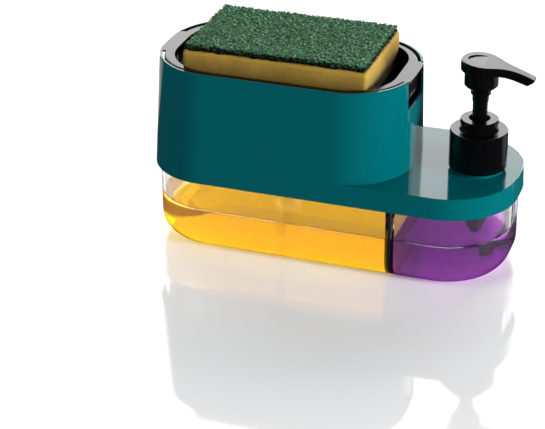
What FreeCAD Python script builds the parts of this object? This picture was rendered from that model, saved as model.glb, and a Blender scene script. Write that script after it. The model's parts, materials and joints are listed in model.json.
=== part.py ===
import FreeCAD, Part
import math
import os

V = FreeCAD.Vector
UP = V(0, 0, 1)
SAME_HEIGHT = 1e-4

# Millimetres. X runs along the caddy, front is -Y, Z is up, and the origin is the
# middle of the footprint on the surface that the caddy stands on.

# Whole caddy
LENGTH = 204.0              # over the skirt at its lower edge
DEPTH = 87.0
LEFT_END_FLAT = 17.0        # straight stretch between the corners of the sponge end
RIGHT_END_FLAT = 11.0       # the same at the hand pump end

# Cover: skirt, deck and the tall sponge tower, one teal moulding
SKIRT_BOTTOM_Z = 43.5
SKIRT_HEIGHT = 12.0
SKIRT_WALL = 1.6
DECK_THICKNESS = 2.2
TOWER_HEIGHT = 51.5         # above the deck
TOWER_SETBACK = 57.4        # tower's right end from the caddy's right end
TOWER_END_FLAT = 17.0
TOWER_WALL = 1.5
FRONT_DRAFT = 2.0           # degrees that the faces lean in
LEFT_DRAFT = 2.8
RIGHT_DRAFT = 2.0
TOWER_RIGHT_DRAFT = 0.8
EDGE_BREAK = 0.5            # bevel on the moulded outer edges
NOTCH_WIDTH = 30.0
NOTCH_CORNER = 1.5

# Clear chambers and the seal between them
TANK_GAP = 0.3              # skirt to chamber wall
TANK_WALL = 1.8
TANK_FLOOR = 2.2
TANK_EDGE = 14.0            # round along the lower edge
SEAT_GAP = 0.05             # deck underside to chamber rim
DIVIDER_SETBACK = 60.6      # divider from the caddy's right end
SEAL_THICKNESS = 1.5
SEAL_WIDTH = 3.5
SEAL_RECESS = 0.15
FILL_LEVEL_Z = 26.0         # soap level in both chambers
FILL_GAP = 0.1              # soap to chamber wall
BATH_GAP = 0.3              # soap to the pump pieces that dip in it

# Sponge tray, its tabs and the sponge
TRAY_GAP = 1.1              # tray to tower wall
TRAY_DROP = 0.4             # rim below the tower's top edge
TRAY_RIM_SIDE = 3.2
TRAY_RIM_END = 6.3
TRAY_DEPTH = 10.5
TRAY_FLOOR = 2.0
TRAY_EDGE_ROUND = 1.4       # outer edge of the rim
TRAY_WELL_ROUND = 0.3
TAB_GAP = 0.6               # tab to notch side
TAB_THICKNESS = 1.6
TRAY_STROKE = 14.0
TAB_STOP_GAP = 0.3          # tab to the notch floor at full stroke
SOAP_HOLE_R = 2.0
SPONGE_LEFT_GAP = 12.2      # foam to the well, for fingers
SPONGE_RIGHT_GAP = 10.4
SPONGE_SIDE_GAP = 3.8
FOAM_HEIGHT = 19.3
FOAM_MARGIN = 1.2           # foam past the pad, each way
PAD_HEIGHT = 4.6
SPONGE_CORNER = 3.0
SPONGE_CORNER_GAP = 0.3     # foam's corners to the well's corners
SPONGE_REST_GAP = 0.1

# Both pumps
NECK_WALL = 2.2
RUNNING_FIT = 0.05          # radial
FLAT_GAP = 0.1              # between flat faces that turn on each other
SEAL_RING_THICKNESS = 1.2
FLANGE_THICKNESS = 1.4
INLET_R = 1.8
BALL_R = 2.6
BALL_CHAMBER_R = 3.4
SEAT_HEIGHT = 2.0           # conical ball seat
BALL_CHAMBER_HEIGHT = 6.7
NIPPLE_R = 2.5
NIPPLE_LENGTH = 6.0
TUBE_WALL = 0.7
NOSE_STEP = 0.95            # end of the barrel past the dip tube
TUBE_FOOT_GAP = 2.0         # dip tube above the chamber floor
TUBE_SHOULDER = 0.1

# Press pump under the tray
PRESS_NECK_R = 13.0
PRESS_NECK_HEIGHT = 8.0
PRESS_BORE_R = 7.0
PRESS_WALL = 1.5
PRESS_BORE_DEPTH = 30.0     # from the top of the flange
PRESS_NOSE_LENGTH = 12.5
PRESS_PISTON_FOOT_GAP = 6.0  # above the bore's floor at full stroke
PRESS_PISTON_LENGTH = 8.0
PRESS_STEM_R = 4.0
PRESS_STEM_BORE_R = 2.0
RETAINER_WALL = 2.4
RETAINER_TOP = 2.0
RETAINER_SKIRT = 9.0
STEM_GUIDE_GAP = 0.3
TRAY_BOSS_WALL = 2.4
TRAY_BOSS_LENGTH = 9.0
PRESS_SPRING_R = 9.4        # to the middle of the wire
PRESS_SPRING_WIRE = 1.2
PRESS_SPRING_TURNS = 6

# Hand pump on the deck
HAND_SETBACK = 23.8         # pump axis from the caddy's right end
HAND_STROKE = 16.0
HAND_NECK_R = 12.5          # 28-400 neck finish
HAND_NECK_HEIGHT = 19.0
HAND_SHOULDER_R = 13.6
HAND_SHOULDER_HEIGHT = 2.2
THREAD_PITCH = 4.233
THREAD_TURNS = 1.5
THREAD_HEIGHT = 1.2
THREAD_ROOT_WIDTH = 1.9
THREAD_TIP_WIDTH = 1.0
THREAD_START = 5.6          # above the deck
THREAD_BITE = 0.25          # ridge root sunk in its wall
CLOSURE_R = 15.6
CLOSURE_GAP = 2.6           # above the deck
CLOSURE_WALL = 1.6
CLOSURE_TOP = 1.8
CLOSURE_ROUND = 0.8
COLLAR_R = 10.3
COLLAR_WAIST_R = 9.8
COLLAR_FLARE_R = 10.7
COLLAR_HEIGHT = 6.2         # above the closure
COLLAR_WAIST_HEIGHT = 1.55
COLLAR_LEDGE_HEIGHT = 3.1
COLLAR_HOLE_R = 5.8
COLLAR_TOP = 2.0
COLLAR_WALL = 1.6
COLLAR_GAP = 0.3            # collar to the closure's hole
HAND_BORE_R = 5.6
HAND_WALL = 1.4
HAND_BORE_DEPTH = 48.9      # from the top of the flange
HAND_NOSE_LENGTH = 13.7
HAND_PISTON_FOOT_GAP = 7.8  # above the bore's floor at full stroke
HAND_PISTON_LENGTH = 8.0
STEM_R = 4.0
STEM_STEP_R = 4.35
STEM_RING_R = 5.4
STEM_BORE_R = 2.0
STEM_FOOT_R = 4.9
STEM_FOOT = 1.5
HAND_SPRING_R = 4.3
HAND_SPRING_WIRE = 0.9
HAND_SPRING_TURNS = 5
SPRING_SEAT_GAP = 0.05

# Pump head
HEAD_HUB_R = 9.0
HEAD_HUB_HEIGHT = 9.3
HUB_STOP_GAP = 2.3          # hub above the collar at full stroke
HEAD_R = 11.2
HEAD_FLANK = 60.0           # degrees from the spout where the round end stops
HEAD_THICKNESS = 5.5
HEAD_RISE = 0.8             # tail of the crown's curve above the middle
HEAD_ROUND = 1.0
HUB_BEVEL = 1.2
SPOUT_REACH = 29.6
SPOUT_DROP = 7.3            # top of the tip below the top of the head
SPOUT_CUT_DOWN = 3.4        # slanted cut at the mouth
SPOUT_CUT_BACK = 4.6
SPOUT_HALF_WIDTH = 2.9
SPOUT_ROOT_X = 4.0          # where the spout's underside leaves the head
SPOUT_NECK_X = 13.5         # where the head has narrowed to the spout
SPOUT_NECK_HALF = 5.2
SPOUT_NECK_DROP = 2.0
SPOUT_NECK_DEPTH = 4.9
SPOUT_BORE_R = 1.5
DISH_LENGTH = 15.0
DISH_WIDTH = 12.0
DISH_DEPTH = 0.25
STEM_RING_DROP = 4.0        # ring below the hub
STEM_RING = 1.5
STEM_STEP_DROP = 8.1        # step below the hub
STEM_TOP_GAP = 0.6

# Places and heights that follow from the sizes above
LEFT_CORNER = (DEPTH - LEFT_END_FLAT) / 2
RIGHT_CORNER = (DEPTH - RIGHT_END_FLAT) / 2
TOWER_CORNER = (DEPTH - TOWER_END_FLAT) / 2
TOWER_RIGHT_X = LENGTH / 2 - TOWER_SETBACK
DIVIDER_X = LENGTH / 2 - DIVIDER_SETBACK
HAND_X = LENGTH / 2 - HAND_SETBACK
PRESS_X = (TOWER_RIGHT_X - LENGTH / 2) / 2
DECK_Z = SKIRT_BOTTOM_Z + SKIRT_HEIGHT
DECK_UNDER_Z = DECK_Z - DECK_THICKNESS
TOWER_TOP_Z = DECK_Z + TOWER_HEIGHT
RIM_Z = DECK_UNDER_Z - SEAT_GAP
NOTCH_DEPTH = TRAY_DROP + TAB_THICKNESS + TRAY_STROKE + TAB_STOP_GAP
NOTCH_Z = TOWER_TOP_Z - NOTCH_DEPTH
TRAY_TOP_Z = TOWER_TOP_Z - TRAY_DROP
TRAY_FLOOR_Z = TRAY_TOP_Z - TRAY_DEPTH
TRAY_UNDER_Z = TRAY_FLOOR_Z - TRAY_FLOOR
FOAM_Z = TRAY_FLOOR_Z + SPONGE_REST_GAP
PAD_Z = FOAM_Z + FOAM_HEIGHT
LEFT_END_X = DIVIDER_X - SEAL_THICKNESS / 2
RIGHT_END_X = DIVIDER_X + SEAL_THICKNESS / 2
TUBE_FOOT_Z = TANK_FLOOR + TUBE_FOOT_GAP
TUBE_R = NIPPLE_R + RUNNING_FIT + TUBE_WALL
NOSE_R = TUBE_R + NOSE_STEP

PRESS_NECK_TOP_Z = DECK_Z + PRESS_NECK_HEIGHT
PRESS_FLANGE_Z = PRESS_NECK_TOP_Z + SEAL_RING_THICKNESS
RETAINER_UNDER_Z = PRESS_FLANGE_Z + FLANGE_THICKNESS
RETAINER_TOP_Z = RETAINER_UNDER_Z + RETAINER_TOP
PRESS_BORE_FOOT_Z = RETAINER_UNDER_Z - PRESS_BORE_DEPTH
PRESS_NOSE_Z = PRESS_BORE_FOOT_Z - PRESS_NOSE_LENGTH
PRESS_PISTON_Z = PRESS_BORE_FOOT_Z + TRAY_STROKE + PRESS_PISTON_FOOT_GAP

HAND_NECK_TOP_Z = DECK_Z + HAND_NECK_HEIGHT
HAND_FLANGE_Z = HAND_NECK_TOP_Z + SEAL_RING_THICKNESS
HAND_FLANGE_TOP_Z = HAND_FLANGE_Z + FLANGE_THICKNESS
CLOSURE_Z = DECK_Z + CLOSURE_GAP
CLOSURE_UNDER_Z = HAND_FLANGE_TOP_Z + FLAT_GAP
CLOSURE_TOP_Z = CLOSURE_UNDER_Z + CLOSURE_TOP
COLLAR_TOP_Z = CLOSURE_TOP_Z + COLLAR_HEIGHT
HAND_BORE_FOOT_Z = HAND_FLANGE_TOP_Z - HAND_BORE_DEPTH
HAND_NOSE_Z = HAND_BORE_FOOT_Z - HAND_NOSE_LENGTH
HAND_PISTON_Z = HAND_BORE_FOOT_Z + HAND_STROKE + HAND_PISTON_FOOT_GAP
STEM_FOOT_Z = HAND_PISTON_Z - STEM_FOOT
HEAD_HUB_Z = COLLAR_TOP_Z + HAND_STROKE + HUB_STOP_GAP
HEAD_UNDER_Z = HEAD_HUB_Z + HEAD_HUB_HEIGHT
HEAD_TOP_Z = HEAD_UNDER_Z + HEAD_THICKNESS
STEM_RING_Z = HEAD_HUB_Z - STEM_RING_DROP
STEM_STEP_Z = HEAD_HUB_Z - STEM_STEP_DROP


def lean(angle, z):
    """How far a face with this draft has moved in at height z."""
    return (z - SKIRT_BOTTOM_Z) * math.tan(math.radians(angle))


def outline(x_left, x_right, half, left_r, right_r, z):
    """Rounded rectangle in plan, mirrored about the XZ plane."""
    def corner(cx, cy, r, start):
        angles = [math.radians(start + step) for step in (0, 45, 90)]
        return Part.Arc(*[V(cx + r * math.cos(a), cy + r * math.sin(a), z) for a in angles])

    arcs = [
        corner(x_right - right_r, -half + right_r, right_r, 270),
        corner(x_right - right_r, half - right_r, right_r, 0),
        corner(x_left + left_r, half - left_r, left_r, 90),
        corner(x_left + left_r, -half + left_r, left_r, 180),
    ]
    edges = []
    for arc, following in zip(arcs, arcs[1:] + arcs[:1]):
        edges.append(arc.toShape())
        edges.append(Part.LineSegment(arc.EndPoint, following.StartPoint).toShape())
    return Part.Wire(edges)


def skirt_outline(z, inset=0.0):
    """Plan of the skirt and deck at height z, drawn in by inset."""
    return outline(-LENGTH / 2 + lean(LEFT_DRAFT, z) + inset, LENGTH / 2 - lean(RIGHT_DRAFT, z) - inset,
                   DEPTH / 2 - lean(FRONT_DRAFT, z) - inset, LEFT_CORNER - inset, RIGHT_CORNER - inset, z)


def tower_right(z):
    """Where the tower's right end stands at height z."""
    return TOWER_RIGHT_X - (z - DECK_Z) * math.tan(math.radians(TOWER_RIGHT_DRAFT))


def tower_left(z):
    """Where the tower's left end stands at height z."""
    return -LENGTH / 2 + lean(LEFT_DRAFT, z)


def tower_half(z):
    """Half the tower's depth at height z."""
    return DEPTH / 2 - lean(FRONT_DRAFT, z)


def tower_outline(z, inset=0.0):
    """Plan of the tower at height z, drawn in by inset."""
    return outline(tower_left(z) + inset, tower_right(z) - inset, tower_half(z) - inset,
                   LEFT_CORNER - inset, TOWER_CORNER - inset, z)


def raised(z, wire):
    """A copy of a wire lifted or lowered to height z."""
    copy = wire.copy()
    copy.translate(V(0, 0, z - wire.BoundBox.ZMin))
    return copy


def stack(wires):
    """Solid through plan wires with straight sides between them."""
    return Part.makeLoft(wires, True, True)


def prism(wire, height):
    """Solid with a plan wire as its lower end."""
    return Part.Face(wire).extrude(V(0, 0, height))


def turned(axis_x, points):
    """Solid of revolution about an upright axis, from (radius, z) points."""
    corners = [V(axis_x + r, 0, z) for r, z in points]
    face = Part.Face(Part.makePolygon(corners + corners[:1]))
    return face.revolve(V(axis_x, 0, 0), UP, 360)


def tube(axis_x, outer_r, inner_r, low, high):
    """Plain ring or pipe about an upright axis."""
    return turned(axis_x, [(inner_r, low), (outer_r, low), (outer_r, high), (inner_r, high)])


def rod(axis_x, r, low, high):
    """Plain upright cylinder."""
    return Part.makeCylinder(r, high - low, V(axis_x, 0, low))


def edges_at(shape, z):
    """Edges of a shape that lie flat at one height."""
    flat = []
    for edge in shape.Edges:
        box = edge.BoundBox
        if abs(box.ZMin - z) < SAME_HEIGHT and abs(box.ZMax - z) < SAME_HEIGHT:
            flat.append(edge)
    return flat


def slab(x_low, x_high):
    """Box that keeps only what lies between two X planes."""
    return Part.makeBox(x_high - x_low, 2 * DEPTH, 2 * TOWER_TOP_Z, V(x_low, -DEPTH, -DECK_Z))


def thread_ridge(axis_x, root_r, tip_r, start_z):
    """Helical ridge with a trapezium section, from root_r to tip_r."""
    helix = Part.makeHelix(THREAD_PITCH, THREAD_PITCH * THREAD_TURNS, root_r)
    half_root = THREAD_ROOT_WIDTH / 2
    half_tip = THREAD_TIP_WIDTH / 2
    corners = [V(root_r, 0, -half_root), V(tip_r, 0, -half_tip),
               V(tip_r, 0, half_tip), V(root_r, 0, half_root)]
    section = Part.makePolygon(corners + corners[:1])
    ridge = Part.Wire(helix.Edges).makePipeShell([section], True, True)
    ridge.translate(V(axis_x, 0, start_z))
    return ridge


def biarc(start, start_way, end, end_way):
    """Two arcs that join two points with given directions."""
    chord = end - start
    both = start_way + end_way
    a = 2 * (1 - start_way.dot(end_way))
    b = 2 * chord.dot(both)
    reach = (math.sqrt(b * b + 4 * a * chord.dot(chord)) - b) / (2 * a)
    middle = (start + end + (start_way - end_way) * reach) * 0.5

    def bend(p, q, peak):
        half = (p + q) * 0.5
        rise = peak - half
        width = (q - p).Length / 2
        sagitta = width * math.tan(math.atan2(rise.Length, width) / 2)
        return Part.Arc(p, half + rise * (sagitta / rise.Length), q).toShape()

    return [bend(start, middle, start + start_way * reach), bend(middle, end, end - end_way * reach)]


def coil_spring(name, axis_x, coil_r, wire, turns, low, high):
    """Round-wire compression spring between two seats, as one tube."""
    foot = low + wire / 2
    rise = high - low - wire
    quarters = 4 * turns

    def place(step):
        angle = math.pi / 2 * step
        at = V(axis_x + coil_r * math.cos(angle), coil_r * math.sin(angle), foot + rise * step / quarters)
        way = V(-coil_r * math.sin(angle), coil_r * math.cos(angle), rise / (2 * math.pi * turns))
        return at, way.normalize()

    path = []
    for step in range(quarters):
        start, start_way = place(step)
        end, end_way = place(step + 1)
        path += biarc(start, start_way, end, end_way)
    start, start_way = place(0)
    section = Part.Wire(Part.makeCircle(wire / 2, start, start_way))
    gap = min((place(step + 4)[0] - place(step)[0]).Length for step in range(quarters - 3)) - wire
    print(name, "least gap between turns", round(gap, 2))
    return Part.Wire(path).makePipeShell([section], True, False)


def tank_block(inset, low, high):
    """Inside or outside form of the chambers: upright walls, rounded lower edge."""
    plan = raised(low, skirt_outline(DECK_Z, SKIRT_WALL + TANK_GAP + inset))
    block = prism(plan, high - low)
    return block.makeFillet(TANK_EDGE - inset, edges_at(block, low))


def chamber(outer_low_x, outer_high_x, inner_low_x, inner_high_x):
    """One clear chamber: its stretch of the tank with an end wall at the divider."""
    outside = tank_block(0, 0, RIM_Z).common(slab(outer_low_x, outer_high_x))
    hollow = tank_block(TANK_WALL, TANK_FLOOR, RIM_Z + TANK_WALL).common(slab(inner_low_x, inner_high_x))
    return outside.cut(hollow)


def left_chamber():
    return chamber(-LENGTH, LEFT_END_X, -LENGTH, LEFT_END_X - TANK_WALL)


def right_chamber():
    return chamber(RIGHT_END_X, LENGTH, RIGHT_END_X + TANK_WALL, LENGTH)


def seal_profile(inset):
    """Closed U-bottomed profile across the tank, on the plane of the divider."""
    half = tower_half(DECK_Z) - SKIRT_WALL - TANK_GAP - inset
    low = inset
    high = RIM_Z - inset
    r = TANK_EDGE - inset
    bend = r * math.sqrt(0.5)
    right = Part.Arc(V(LEFT_END_X, half - r, low), V(LEFT_END_X, half - r + bend, low + r - bend),
                     V(LEFT_END_X, half, low + r))
    left = Part.Arc(V(LEFT_END_X, -half, low + r), V(LEFT_END_X, -half + r - bend, low + r - bend),
                    V(LEFT_END_X, -half + r, low))
    corners = [right.EndPoint, V(LEFT_END_X, half, high), V(LEFT_END_X, -half, high), left.StartPoint]
    edges = [right.toShape()]
    for start, end in zip(corners, corners[1:]):
        edges.append(Part.LineSegment(start, end).toShape())
    edges += [left.toShape(), Part.LineSegment(left.EndPoint, right.StartPoint).toShape()]
    return Part.Wire(edges)


def divider_seal():
    """Black frame bonded between the two chambers' end walls."""
    frame = Part.Face(seal_profile(SEAL_RECESS)).extrude(V(SEAL_THICKNESS, 0, 0))
    window = Part.Face(seal_profile(SEAL_RECESS + SEAL_WIDTH)).extrude(V(SEAL_THICKNESS, 0, 0))
    return frame.cut(window)


def soap_fill(low_x, high_x, dipped):
    """Soap in one chamber, with room round what dips into it."""
    body = tank_block(TANK_WALL + FILL_GAP, TANK_FLOOR + FILL_GAP, FILL_LEVEL_Z)
    body = body.common(slab(low_x, high_x))
    return body.cut(dipped)


def dish_soap():
    return soap_fill(-LENGTH, LEFT_END_X - TANK_WALL - FILL_GAP, press_bath())


def hand_soap():
    return soap_fill(RIGHT_END_X + TANK_WALL + FILL_GAP, LENGTH, hand_bath())


def bath(axis_x, body_r, shoulder_z, nose_z):
    """Room in the soap for a pump's lower end and its tube."""
    tube_room = TUBE_R + BATH_GAP
    body_room = body_r + BATH_GAP
    nose_room = NOSE_R + BATH_GAP
    foot = TUBE_FOOT_Z - BATH_GAP
    nose_foot = nose_z - BATH_GAP
    return turned(axis_x, [(0, foot), (tube_room, foot), (tube_room, nose_foot), (nose_room, nose_foot),
                           (body_room, shoulder_z - BATH_GAP), (body_room, RIM_Z), (0, RIM_Z)])


def press_bath():
    return bath(PRESS_X, PRESS_BORE_R + PRESS_WALL, PRESS_BORE_FOOT_Z, PRESS_NOSE_Z)


def hand_bath():
    return bath(HAND_X, HAND_BORE_R + HAND_WALL, HAND_BORE_FOOT_Z, HAND_NOSE_Z)


def round_below(block, r):
    """Rounds the two lower edges of a box that run along X."""
    lower = []
    for edge in edges_at(block, block.BoundBox.ZMin):
        if edge.BoundBox.XLength > edge.BoundBox.YLength:
            lower.append(edge)
    return block.makeFillet(r, lower)


def notch(x_low, x_high):
    """Cutter for the U-shaped slot that a tray tab travels in."""
    height = NOTCH_DEPTH + NOTCH_CORNER
    block = Part.makeBox(x_high - x_low, NOTCH_WIDTH, height, V(x_low, -NOTCH_WIDTH / 2, NOTCH_Z))
    return round_below(block, NOTCH_CORNER)


def cover_body():
    """Skirt, deck and tower as one shell, without the pump necks."""
    brow = DECK_Z - EDGE_BREAK
    skirt = stack([skirt_outline(SKIRT_BOTTOM_Z), skirt_outline(brow),
                   raised(DECK_Z, skirt_outline(brow, EDGE_BREAK))])
    shoulder = TOWER_TOP_Z - EDGE_BREAK
    tower = stack([tower_outline(brow), tower_outline(shoulder),
                   raised(TOWER_TOP_Z, tower_outline(shoulder, EDGE_BREAK))])
    under = prism(raised(SKIRT_BOTTOM_Z, skirt_outline(DECK_Z, SKIRT_WALL)), DECK_UNDER_Z - SKIRT_BOTTOM_Z)
    well = stack([tower_outline(DECK_Z, TOWER_WALL), tower_outline(TOWER_TOP_Z, TOWER_WALL)])
    shell = skirt.fuse(tower).cut(under).cut(well)
    left_notch = notch(-LENGTH, tower_left(TOWER_TOP_Z) + LEFT_CORNER / 2)
    right_notch = notch(tower_right(TOWER_TOP_Z) - TOWER_CORNER / 2, TOWER_RIGHT_X + NOTCH_DEPTH)
    return shell.cut(left_notch).cut(right_notch)


def cover_shell():
    """Teal cover with a threaded neck on its deck and a plain one in its tower."""
    hand_neck = turned(HAND_X, [(0, DECK_UNDER_Z), (HAND_SHOULDER_R, DECK_UNDER_Z),
                                (HAND_SHOULDER_R, DECK_Z + HAND_SHOULDER_HEIGHT),
                                (HAND_NECK_R, DECK_Z + HAND_SHOULDER_HEIGHT),
                                (HAND_NECK_R, HAND_NECK_TOP_Z), (0, HAND_NECK_TOP_Z)])
    ridge = thread_ridge(HAND_X, HAND_NECK_R - THREAD_BITE, HAND_NECK_R + THREAD_HEIGHT,
                         DECK_Z + THREAD_START)
    press_neck = rod(PRESS_X, PRESS_NECK_R, DECK_UNDER_Z, PRESS_NECK_TOP_Z)
    shell = cover_body().fuse(hand_neck.fuse(ridge)).fuse(press_neck)
    shell = shell.cut(rod(HAND_X, HAND_NECK_R - NECK_WALL, SKIRT_BOTTOM_Z, TOWER_TOP_Z))
    return shell.cut(rod(PRESS_X, PRESS_NECK_R - NECK_WALL, SKIRT_BOTTOM_Z, TOWER_TOP_Z))


def pump_housing(axis_x, flange_r, flange_z, bore_r, wall, bore_foot_z, nose_z):
    """Pump barrel with a flange, a ball chamber, a tapered nose and a tube nipple."""
    nipple_foot_z = nose_z - NIPPLE_LENGTH
    chamber_foot = bore_foot_z - BALL_CHAMBER_HEIGHT
    seat_foot = chamber_foot - SEAT_HEIGHT
    body_r = bore_r + wall
    flange_top = flange_z + FLANGE_THICKNESS
    return turned(axis_x, [
        (INLET_R, nipple_foot_z), (NIPPLE_R, nipple_foot_z), (NIPPLE_R, nose_z), (NOSE_R, nose_z),
        (body_r, bore_foot_z), (body_r, flange_z), (flange_r, flange_z), (flange_r, flange_top),
        (bore_r, flange_top), (bore_r, bore_foot_z), (BALL_CHAMBER_R, bore_foot_z),
        (BALL_CHAMBER_R, chamber_foot), (INLET_R, seat_foot)])


def inlet_ball(axis_x, bore_foot_z):
    """Check ball lying on the conical seat."""
    seat_foot = bore_foot_z - BALL_CHAMBER_HEIGHT - SEAT_HEIGHT
    slope = (BALL_CHAMBER_R - INLET_R) / SEAT_HEIGHT
    rise = ((BALL_R + RUNNING_FIT) * math.sqrt(1 + slope * slope) - INLET_R) / slope
    return Part.makeSphere(BALL_R, V(axis_x, 0, seat_foot + rise))


def dip_tube(axis_x, nose_z):
    """Suction tube pushed over the nipple, ending just above the chamber floor."""
    return tube(axis_x, TUBE_R, TUBE_R - TUBE_WALL, TUBE_FOOT_Z, nose_z - TUBE_SHOULDER)


def press_housing():
    return pump_housing(PRESS_X, PRESS_NECK_R, PRESS_FLANGE_Z, PRESS_BORE_R, PRESS_WALL, PRESS_BORE_FOOT_Z,
                        PRESS_NOSE_Z)


def press_ball():
    return inlet_ball(PRESS_X, PRESS_BORE_FOOT_Z)


def press_dip_tube():
    return dip_tube(PRESS_X, PRESS_NOSE_Z)


def press_gasket():
    return tube(PRESS_X, PRESS_NECK_R, PRESS_NECK_R - NECK_WALL, PRESS_NECK_TOP_Z, PRESS_FLANGE_Z)


def press_retainer():
    """Cap that clamps the press pump on its neck and guides the stem."""
    inner = PRESS_NECK_R + RUNNING_FIT
    guide = PRESS_STEM_R + STEM_GUIDE_GAP
    outer = inner + RETAINER_WALL
    foot = RETAINER_UNDER_Z - RETAINER_SKIRT
    return turned(PRESS_X, [(inner, foot), (outer, foot), (outer, RETAINER_TOP_Z), (guide, RETAINER_TOP_Z),
                            (guide, RETAINER_UNDER_Z), (inner, RETAINER_UNDER_Z)])


def press_stem():
    """Hollow stem from the piston up into the tray's boss."""
    top = TRAY_UNDER_Z - FLAT_GAP
    return tube(PRESS_X, PRESS_STEM_R, PRESS_STEM_BORE_R, PRESS_PISTON_Z, top)


def press_piston():
    return tube(PRESS_X, PRESS_BORE_R - RUNNING_FIT, PRESS_STEM_R, PRESS_PISTON_Z,
                PRESS_PISTON_Z + PRESS_PISTON_LENGTH)


def press_spring():
    return coil_spring("press_spring", PRESS_X, PRESS_SPRING_R, PRESS_SPRING_WIRE, PRESS_SPRING_TURNS,
                       RETAINER_TOP_Z + SPRING_SEAT_GAP, TRAY_UNDER_Z - SPRING_SEAT_GAP)


def tray_outline(z):
    """Plan of the tray, a named gap inside the tower's top."""
    return raised(z, tower_outline(TOWER_TOP_Z, TOWER_WALL + TRAY_GAP))


def well_corner(end_gap):
    """Largest round of a well corner that keeps its gap to the foam's corner."""
    along = end_gap + SPONGE_CORNER
    across = SPONGE_SIDE_GAP + SPONGE_CORNER
    reach = SPONGE_CORNER + SPONGE_CORNER_GAP
    middle = along + across - reach
    return middle + math.sqrt(middle ** 2 - along ** 2 - across ** 2 + reach ** 2)


def well_outline(z):
    """Plan of the tray's well, a rim's width inside the tray."""
    rim = tray_outline(z).BoundBox
    return outline(rim.XMin + TRAY_RIM_END, rim.XMax - TRAY_RIM_END, rim.YMax - TRAY_RIM_SIDE,
                   well_corner(SPONGE_LEFT_GAP), well_corner(SPONGE_RIGHT_GAP), z)


def sponge_tray():
    """Black tray: flat rim, well for the sponge, outer wall, end tabs and a stem boss."""
    dish = prism(tray_outline(TRAY_UNDER_Z), TRAY_TOP_Z - TRAY_UNDER_Z)
    dish = dish.makeFillet(TRAY_EDGE_ROUND, edges_at(dish, TRAY_TOP_Z))
    half_tab = NOTCH_WIDTH / 2 - TAB_GAP
    tab_z = TRAY_TOP_Z - TAB_THICKNESS
    left = tower_left(TRAY_TOP_Z)
    bar = Part.makeBox(tower_right(TRAY_TOP_Z) - left, 2 * half_tab, TAB_THICKNESS,
                       V(left, -half_tab, tab_z))
    bar = round_below(bar, NOTCH_CORNER - TAB_STOP_GAP)
    bar = bar.common(prism(raised(tab_z, tower_outline(TOWER_TOP_Z)), TAB_THICKNESS))
    well = prism(well_outline(TRAY_FLOOR_Z), TRAY_DEPTH)
    well = well.makeFillet(TRAY_WELL_ROUND, edges_at(well, TRAY_FLOOR_Z))
    tray = dish.fuse(bar).cut(well)
    socket_r = PRESS_STEM_R + RUNNING_FIT
    boss_foot = TRAY_UNDER_Z - TRAY_BOSS_LENGTH
    tray = tray.fuse(rod(PRESS_X, socket_r + TRAY_BOSS_WALL, boss_foot, TRAY_UNDER_Z))
    tray = tray.cut(rod(PRESS_X, socket_r, boss_foot, TRAY_UNDER_Z))
    return tray.cut(rod(PRESS_X, SOAP_HOLE_R, TRAY_UNDER_Z, TRAY_FLOOR_Z))


def sponge_block(margin, low, height):
    """Upright block in the tray's well with eased corners, drawn in by margin."""
    well = well_outline(low).BoundBox
    plan = outline(well.XMin + SPONGE_LEFT_GAP + margin, well.XMax - SPONGE_RIGHT_GAP - margin,
                   well.YMax - SPONGE_SIDE_GAP - margin, SPONGE_CORNER, SPONGE_CORNER, low)
    return prism(plan, height)


def sponge_foam():
    return sponge_block(0, FOAM_Z, FOAM_HEIGHT)


def scouring_pad():
    return sponge_block(FOAM_MARGIN, PAD_Z, PAD_HEIGHT)


def hand_housing():
    return pump_housing(HAND_X, HAND_NECK_R, HAND_FLANGE_Z, HAND_BORE_R, HAND_WALL, HAND_BORE_FOOT_Z,
                        HAND_NOSE_Z)


def hand_ball():
    return inlet_ball(HAND_X, HAND_BORE_FOOT_Z)


def hand_dip_tube():
    return dip_tube(HAND_X, HAND_NOSE_Z)


def hand_gasket():
    return tube(HAND_X, HAND_NECK_R, HAND_NECK_R - NECK_WALL, HAND_NECK_TOP_Z, HAND_FLANGE_Z)


def hand_spring():
    return coil_spring("hand_spring", HAND_X, HAND_SPRING_R, HAND_SPRING_WIRE, HAND_SPRING_TURNS,
                       HAND_BORE_FOOT_Z + SPRING_SEAT_GAP, STEM_FOOT_Z - SPRING_SEAT_GAP)


def hand_closure():
    """Smooth screw cap that holds the hand pump on the deck's neck."""
    inner = CLOSURE_R - CLOSURE_WALL
    hole = COLLAR_WAIST_R + COLLAR_GAP
    cap = turned(HAND_X, [(inner, CLOSURE_Z), (CLOSURE_R, CLOSURE_Z), (CLOSURE_R, CLOSURE_TOP_Z),
                          (hole, CLOSURE_TOP_Z), (hole, CLOSURE_UNDER_Z), (inner, CLOSURE_UNDER_Z)])
    rim = [edge for edge in edges_at(cap, CLOSURE_TOP_Z) if edge.BoundBox.XLength > 2 * inner]
    cap = cap.makeFillet(CLOSURE_ROUND, rim)
    start = DECK_Z + THREAD_START + THREAD_PITCH / 2
    return cap.fuse(thread_ridge(HAND_X, inner + THREAD_BITE, inner - THREAD_HEIGHT, start))


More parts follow.
